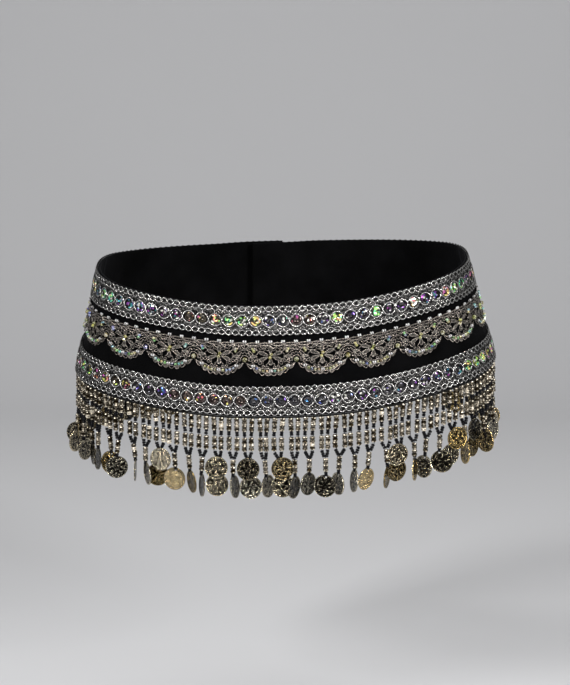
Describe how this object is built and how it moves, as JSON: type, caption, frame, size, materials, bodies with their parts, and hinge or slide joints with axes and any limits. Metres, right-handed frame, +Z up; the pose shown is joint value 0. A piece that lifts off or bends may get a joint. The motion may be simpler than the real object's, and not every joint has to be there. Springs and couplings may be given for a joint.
{
  "type": "belly dance hip belt",
  "caption": "Contoured velvet hip belt with silver sequin braids, scalloped lace and a beaded coin fringe, in its worn shape and hooked at the back.",
  "frame": {"origin": "middle of the hollow for the wearer's hips, level with the middle of the band at the centre front", "axes": "+Z up, the wearer faces -Y, +X to the wearer's left"},
  "size_m": [0.3913, 0.2695, 0.2064],
  "materials": {
    "velvet": "black short-pile velvet on a stiff interlining",
    "sequin_braid": "silver lurex braid with chain edges and hologram sequins in rings",
    "metallic_lace": "silver metallic scalloped lace with glass beads and crystals",
    "beads_and_coins": "silver-lined and black glass beads with thin stamped coins in silver and old gold",
    "hook_steel": "nickel-plated flat hooks and bars"
  },
  "bodies": {
    "root": {"front_panel": "velvet", "back_panel_right": "velvet", "back_panel_left": "velvet", "top_braid": "sequin_braid", "scallop_lace": "metallic_lace", "lower_braid": "sequin_braid", "coin_fringe": "beads_and_coins", "hook_1": "hook_steel", "hook_2": "hook_steel", "hook_3": "hook_steel", "hook_bar_1": "hook_steel", "hook_bar_2": "hook_steel", "hook_bar_3": "hook_steel"}
  },
  "joints": []
}
